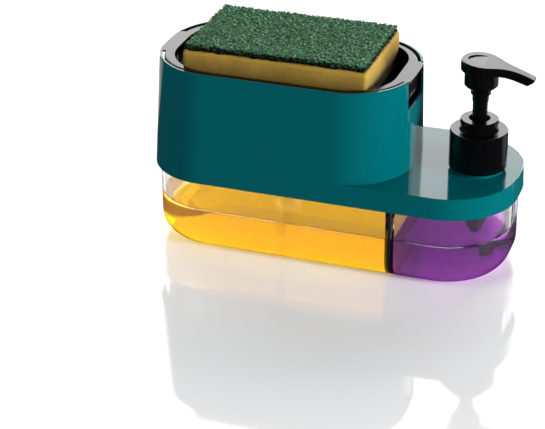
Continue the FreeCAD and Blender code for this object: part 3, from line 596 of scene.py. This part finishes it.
def fit_piece(piece, made, body, slot, *nodes):
    """Gives a piece its material and lets it ride on a body, in place of CAD nodes."""
    piece.data.materials.append(made)
    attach(piece, body)
    if nodes:
        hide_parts(*nodes)
    return piece


def new_piece(name, mesh, made, body, slot, *nodes):
    """Piece for a mesh that was made in code."""
    piece = bpy.data.objects.new(name, mesh)
    bpy.context.scene.collection.objects.link(piece)
    return fit_piece(piece, made, body, slot, *nodes)


def start_shape(name, add_primitive, low, high):
    """Primitive of unit size stretched between two corners, left in edit mode."""
    bpy.ops.object.select_all(action="DESELECT")
    add_primitive(size=1, calc_uvs=False)
    shape = bpy.context.object
    shape.name = name
    shape.data.name = name
    bpy.ops.object.mode_set(mode="EDIT")
    bpy.ops.transform.resize(value=high - low, center_override=(0, 0, 0))
    bpy.ops.transform.translate(value=(low + high) / 2)
    return shape


def same(one, other):
    """Whether two coordinates are one place."""
    return abs(one - other) < SAME_PLACE


def pick_edges(shape, wanted):
    """Selects the edges whose two ends pass a test."""
    bpy.ops.mesh.select_mode(type="EDGE")
    bpy.ops.mesh.select_all(action="DESELECT")
    build = bmesh.from_edit_mesh(shape.data)
    for edge in build.edges:
        edge.select_set(wanted(edge.verts[0].co, edge.verts[1].co))
    bmesh.update_edit_mesh(shape.data)


def pick_top(shape, height):
    """Selects the flat face at a height."""
    bpy.ops.mesh.select_mode(type="FACE")
    bpy.ops.mesh.select_all(action="DESELECT")
    build = bmesh.from_edit_mesh(shape.data)
    for face in build.faces:
        face.select_set(all(same(end.co.z, height) for end in face.verts))
    bmesh.update_edit_mesh(shape.data)


def soap_shape(name, settings, chamber, corner, outward):
    """Soap that fills a chamber up to its level, with a meniscus round its edge."""
    low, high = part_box(chamber)
    low = low + Vector((settings.skin,) * 3)
    high = Vector((high.x - settings.skin, high.y - settings.skin, settings.level + settings.meniscus))
    outer, divider = (high.x, low.x) if outward > 0 else (low.x, high.x)

    def outer_corner(one, other):
        return same(one.x, outer) and same(other.x, outer) and not same(one.z, other.z)

    def lower_edge(one, other):
        on_divider = same(one.x, divider) and same(other.x, divider)
        return same(one.z, low.z) and same(other.z, low.z) and not on_divider

    shape = start_shape(name, bpy.ops.mesh.primitive_cube_add, low, high)
    pick_edges(shape, outer_corner)
    bpy.ops.mesh.bevel(offset=corner - settings.skin, segments=CORNER_STEPS, affect="EDGES")
    pick_edges(shape, lower_edge)
    bpy.ops.mesh.bevel(offset=settings.edge - settings.skin, segments=EDGE_STEPS, affect="EDGES")
    pick_top(shape, high.z)
    for back, further in zip(MENISCUS_RINGS, MENISCUS_RINGS[1:]):
        fall = math.exp(-back / settings.meniscus_reach) - math.exp(-further / settings.meniscus_reach)
        bpy.ops.mesh.inset(thickness=further - back, depth=-settings.meniscus * fall)
    bpy.ops.object.mode_set(mode="OBJECT")
    bpy.ops.object.shade_smooth_by_angle(angle=SHARP_ANGLE)
    return shape


def finish_mesh(name, build):
    """Smooth mesh from a finished build."""
    mesh = bpy.data.meshes.new(name)
    build.to_mesh(mesh)
    build.free()
    for face in mesh.polygons:
        face.use_smooth = True
    return mesh


def block_mesh(name, low, high, step, edge, shift):
    """Closed block with rounded edges, whose points are moved by shift(point, normal)."""
    size = high - low
    counts = [max(2, round(size[k] / step)) for k in range(3)]
    build = bmesh.new()
    found = {}

    def vertex(index):
        if index not in found:
            found[index] = build.verts.new([low[k] + size[k] * index[k] / counts[k] for k in range(3)])
        return found[index]

    def side(axis, end):
        u, v = (axis + 1) % 3, (axis + 2) % 3
        for i in range(counts[u]):
            for j in range(counts[v]):
                corners = []
                for di, dj in ((0, 0), (1, 0), (1, 1), (0, 1)):
                    index = [0, 0, 0]
                    index[axis], index[u], index[v] = end, i + di, j + dj
                    corners.append(vertex(tuple(index)))
                build.faces.new(corners if end else list(reversed(corners)))

    for axis in range(3):
        for end in (0, counts[axis]):
            side(axis, end)
    for point in build.verts:
        core = Vector([min(max(point.co[k], low[k] + edge), high[k] - edge) for k in range(3)])
        out = point.co - core
        if out.length > 1e-9:
            point.co = core + out.normalized() * edge
            point.co += shift(point.co, out.normalized())
    return finish_mesh(name, build)


def foam_mesh(name, settings, low, high):
    """Foam block with open cells in slowly swelling faces."""

    def cells(point, out):
        pit = noise.voronoi(point / settings.pore_size)[0][0]
        swell = noise.noise(point * SWELL_RATE) * SWELL_HEIGHT
        return out * (swell - settings.pore_depth * max(0.0, PIT_SHARE - pit) / PIT_SHARE)

    return block_mesh(name, low, high, settings.foam_step, settings.foam_round, cells)


def pad_mesh(name, settings, low, high):
    """Scouring pad of matted clumps."""

    def clumps(point, out):
        curl = noise.noise_vector(point / settings.clump_size) * settings.clump_size * CLUMP_CURL
        near = noise.voronoi((point + curl) / settings.clump_size)[0]
        rise = max(0.0, 1.0 - CLUMP_FALL * near[0]) * settings.clump_height
        ragged = noise.noise(point / RAGGED_SPACING + RAGGED_START) * RAGGED_HEIGHT
        return out * (rise - settings.clump_height * CLUMP_SINK + ragged)

    return block_mesh(name, low, high, settings.pad_step, settings.pad_round, clumps)


def fibre_start(count, low, high):
    """Where a fibre stands and which way it points, on the pad's top or now and then on a side."""
    size = high - low
    at = Vector((low.x + size.x * noise.random(), low.y + size.y * noise.random(), high.z))
    way = noise.random_unit_vector()
    lift = FIBRE_LIFT
    if count % SIDE_EVERY == 0:
        side = noise.random()
        at.z = low.z + size.z * noise.random()
        if side < 0.5:
            at.y = low.y if side < 0.25 else high.y
        else:
            at.x = low.x if side < 0.75 else high.x
        lift = 0.0
    way.z = abs(way.z) * lift
    way.normalize()
    return at, way


def add_fibre(build, path, across, over):
    """Closed three-sided tube along a path."""
    rows = []
    for point in path:
        rows.append([build.verts.new(point + across * a + over * b) for a, b in FIBRE_SECTION])
    for lower, upper in zip(rows, rows[1:]):
        for k in range(3):
            after = (k + 1) % 3
            build.faces.new((lower[k], lower[after], upper[after], upper[k]))
    build.faces.new(list(reversed(rows[0])))
    build.faces.new(rows[-1])


def fibre_mesh(name, settings, low, high):
    """Loose bent fibres on the pad's top and sides."""
    build = bmesh.new()
    noise.seed_set(SEED)
    for count in range(settings.fibres):
        at, way = fibre_start(count, low, high)
        bend = noise.random_unit_vector() * FIBRE_BEND
        bend.z = FIBRE_ARCH
        length = settings.fibre_length * (0.5 + noise.random())
        path = []
        for step in range(FIBRE_STEPS + 1):
            t = step / FIBRE_STEPS - 0.5
            path.append(at + way * length * t + bend * length * (0.25 - t ** 2))
        across = way.cross(Vector((0, 0, 1)))
        across = across.normalized() if across.length > SAME_PLACE else Vector((1, 0, 0))
        across = across * settings.fibre_radius
        over = way.cross(across).normalized() * settings.fibre_radius
        add_fibre(build, path, across, over)
    return finish_mesh(name, build)


def compress(name):
    """Gives a spring that a joint presses a mesh of its own."""
    for joint in frame["joints"]:
        for spring in joint.get("deforming_nodes", []):
            if spring["node"] == name:
                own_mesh(NODES[name])


class CADDY_OT_tank(bpy.types.Operator):
    """Dress the clear chambers and the seal between them"""

    bl_idname = "caddy.tank"
    bl_label = "Tank"

    def execute(self, context):
        colours = context.scene.caddy_colours
        dress(clear_plastic("clear_plastic"), "left_chamber", "right_chamber")
        dress(rubber("seal_rubber", colours.seal), "divider_seal")
        return {"FINISHED"}


class CADDY_OT_soaps(bpy.types.Operator):
    """Fill both chambers with soap"""

    bl_idname = "caddy.soaps"
    bl_label = "Soaps"

    def execute(self, context):
        settings = context.scene.caddy_soap
        colours = context.scene.caddy_colours
        joined = settings.skin + SOAP_JOIN
        amber = soap("amber_soap", colours.amber_tint, colours.amber_body, settings.amber_density,
                     colours.amber_shadow, colours.amber_painted_glow, joined)
        left = soap_shape("dish_soap_fill", settings, "left_chamber", settings.left_corner, outward=-1)
        fit_piece(left, amber, "base", "dish_soap", "dish_soap")
        purple = soap("purple_soap", colours.purple_tint, colours.purple_body, settings.purple_density,
                      colours.purple_shadow, colours.purple_painted_glow, joined)
        right = soap_shape("hand_soap_fill", settings, "right_chamber", settings.right_corner, outward=1)
        fit_piece(right, purple, "base", "hand_soap", "hand_soap")
        return {"FINISHED"}


class CADDY_OT_cover(bpy.types.Operator):
    """Dress the teal cover"""

    bl_idname = "caddy.cover"
    bl_label = "Cover"

    def execute(self, context):
        colours = context.scene.caddy_colours
        teal = moulded("teal_plastic", colours.teal_dark, colours.teal_light, rough=(0.05, 0.1),
                       specular=0.4, gloss=colours.teal_gloss)
        dress(teal, "cover_shell")
        return {"FINISHED"}


class CADDY_OT_tray(bpy.types.Operator):
    """Dress the sponge tray"""

    bl_idname = "caddy.tray"
    bl_label = "Tray"

    def execute(self, context):
        colours = context.scene.caddy_colours
        black = moulded("tray_black", colours.tray_dark, colours.tray_light, rough=(0.08, 0.16),
                        specular=0.33)
        dress(black, "sponge_tray")
        return {"FINISHED"}


class CADDY_OT_sponge(bpy.types.Operator):
    """Make the foam and the scouring pad on it"""

    bl_idname = "caddy.sponge"
    bl_label = "Sponge"

    def execute(self, context):
        settings = context.scene.caddy_sponge
        colours = context.scene.caddy_colours
        noise.seed_set(SEED)
        low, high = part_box("sponge_foam")
        yellow = foam_material("foam", colours, low.z + (high.z - low.z) * PAINTED_SHADE_FROM, high.z)
        foam = new_piece("foam", foam_mesh("foam", settings, low, high), yellow,
                         "sponge", "foam", "sponge_foam")
        low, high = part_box("scouring_pad")
        high = high - Vector((0, 0, settings.clump_height / 2))
        green = fibre_material("scouring_fibre", colours, low.z, high.z)
        pad = new_piece("pad", pad_mesh("pad", settings, low, high), green,
                        "sponge", "scouring_fibre", "scouring_pad")
        new_piece("pad_fibres", fibre_mesh("pad_fibres", settings, low, high), green,
                  "sponge", "scouring_fibre")
        return {"FINISHED"}


class CADDY_OT_inner_pieces(bpy.types.Operator):
    """Dress the pump under the tray and the inner pieces of the hand pump"""

    bl_idname = "caddy.inner_pieces"
    bl_label = "Inner Pieces"

    def execute(self, context):
        colours = context.scene.caddy_colours
        milky = milky_plastic("milky_plastic", clear=0.9, ior=1.12, rough=(0.1, 0.2), tone=0.94)
        dress(milky, "press_housing", "press_retainer", "press_stem")
        tube = milky_plastic("tube_plastic", clear=1.0, ior=1.01, rough=(0.0, 0.02), tone=1.0)
        dress(tube, "press_dip_tube", "hand_dip_tube")
        gasket = rubber("gasket_rubber", colours.gasket)
        dress(gasket, "press_gasket", "press_piston", "hand_gasket", "hand_piston")
        dress(steel("spring_steel"), "press_spring", "press_ball", "hand_spring", "hand_ball")
        compress("press_spring")
        compress("hand_spring")
        return {"FINISHED"}


class CADDY_OT_hand_pump(bpy.types.Operator):
    """Dress the black pieces of the hand pump"""

    bl_idname = "caddy.hand_pump"
    bl_label = "Hand Pump"

    def execute(self, context):
        colours = context.scene.caddy_colours
        black = moulded("pump_black", colours.pump_dark, colours.pump_light, rough=(0.16, 0.26),
                        specular=0.4)
        dress(black, "pump_head", "hand_stem", "hand_collar", "hand_closure", "hand_housing")
        return {"FINISHED"}


def area_light(name, power, at, aim, size, mirrored=False):
    """Rectangular softbox that the camera doesn't see, and shiny faces only if it is mirrored."""
    data = bpy.data.lights.new(name, "AREA")
    data.shape = "RECTANGLE"
    data.size, data.size_y = size
    data.energy = power
    lamp = bpy.data.objects.new(name, data)
    bpy.context.scene.collection.objects.link(lamp)
    lamp.location = at
    lamp.rotation_euler = (Vector(aim) - Vector(at)).to_track_quat("-Z", "Y").to_euler()
    lamp.visible_camera = False
    lamp.visible_glossy = mirrored


def add_card(name, low, high, brightness):
    """Glowing sheet under the floor that only shiny faces see."""
    sheet = start_shape(name, bpy.ops.mesh.primitive_plane_add, low, high)
    bpy.ops.object.mode_set(mode="OBJECT")
    sheet.data.materials.append(card_material(name, brightness))
    for kind in ("camera", "diffuse", "transmission", "shadow", "volume_scatter"):
        setattr(sheet, "visible_" + kind, False)


def add_camera(settings):
    """Camera at the photograph's viewing angle."""
    data = bpy.data.cameras.new("camera")
    data.lens = settings.lens
    data.sensor_width = SENSOR_WIDTH
    data.clip_start = CLIP_START
    camera = bpy.data.objects.new("camera", data)
    bpy.context.scene.collection.objects.link(camera)
    camera.location = settings.camera_at
    camera.rotation_euler = settings.camera_turn
    bpy.context.scene.camera = camera


def add_floor(settings):
    """Wide pale floor."""
    bpy.ops.object.select_all(action="DESELECT")
    bpy.ops.mesh.primitive_grid_add(x_subdivisions=FLOOR_PARTS, y_subdivisions=FLOOR_PARTS,
                                    size=2 * settings.floor_size, calc_uvs=False)
    floor = bpy.context.object
    floor.name = "floor"
    floor.data.name = "floor"
    floor.data.materials.append(floor_material("pale_floor", settings))


def studio_world(settings):
    """Dim room, brighter through clear pieces, that the camera sees as white."""
    world = bpy.data.worlds.new("studio")
    world.use_nodes = True
    air = world.node_tree
    path = air.nodes.new("ShaderNodeLightPath")
    room = spread(air, path.outputs["Transmission Depth"], settings.room, settings.room_through_tank)
    strength = reckon(air, "MAXIMUM", room, path.outputs["Is Camera Ray"])
    set_inputs(air.nodes["Background"], {"Color": (*WHITE, 1.0), "Strength": strength})
    return world


class CADDY_OT_stage(bpy.types.Operator):
    """Set up the floor, the lights and the camera"""

    bl_idname = "caddy.stage"
    bl_label = "Stage"

    def execute(self, context):
        settings = context.scene.caddy_stage
        add_camera(settings)
        add_floor(settings)
        area_light("backdrop", settings.backdrop_power, mirrored=True, **BACKDROP)
        add_card("left_card", *LEFT_CARD, settings.card_glow)
        add_card("right_card", *RIGHT_CARD, settings.card_glow)
        area_light("fill_softbox", settings.fill_power, **FILL)
        area_light("right_softbox", settings.right_power, **RIGHT)
        context.scene.world = studio_world(settings)
        context.scene.view_settings.view_transform = "Standard"
        return {"FINISHED"}


class CADDY_PT_panel(bpy.types.Panel):
    """Buttons that dress the caddy, and its settings"""

    bl_label = "Soap Pump Caddy"
    bl_idname = "CADDY_PT_panel"
    bl_space_type = "VIEW_3D"
    bl_region_type = "UI"
    bl_category = "Caddy"

    def draw(self, context):
        layout = self.layout
        for operator in OPERATORS:
            layout.operator(operator.bl_idname)
        for key, group in GROUPS.items():
            box = layout.box()
            for setting in group.__annotations__:
                box.prop(getattr(context.scene, key), setting)


GROUPS = {
    "caddy_colours": CaddyColours,
    "caddy_soap": CaddySoapSettings,
    "caddy_sponge": CaddySpongeSettings,
    "caddy_stage": CaddyStageSettings,
}
OPERATORS = (
    CADDY_OT_stage,
    CADDY_OT_tank,
    CADDY_OT_soaps,
    CADDY_OT_cover,
    CADDY_OT_tray,
    CADDY_OT_sponge,
    CADDY_OT_inner_pieces,
    CADDY_OT_hand_pump,
)
CLASSES = (*GROUPS.values(), *OPERATORS, CADDY_PT_panel)


def register():
    for made in CLASSES:
        bpy.utils.register_class(made)
    for key, group in GROUPS.items():
        setattr(bpy.types.Scene, key, bpy.props.PointerProperty(type=group))


def unregister():
    for key in GROUPS:
        delattr(bpy.types.Scene, key)
    for made in reversed(CLASSES):
        bpy.utils.unregister_class(made)


def main():
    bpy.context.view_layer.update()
    register()
    bpy.ops.caddy.stage()
    bpy.ops.caddy.tank()
    bpy.ops.caddy.soaps()
    bpy.ops.caddy.cover()
    bpy.ops.caddy.tray()
    bpy.ops.caddy.sponge()
    bpy.ops.caddy.inner_pieces()
    bpy.ops.caddy.hand_pump()


if __name__ == "__main__":
    main()
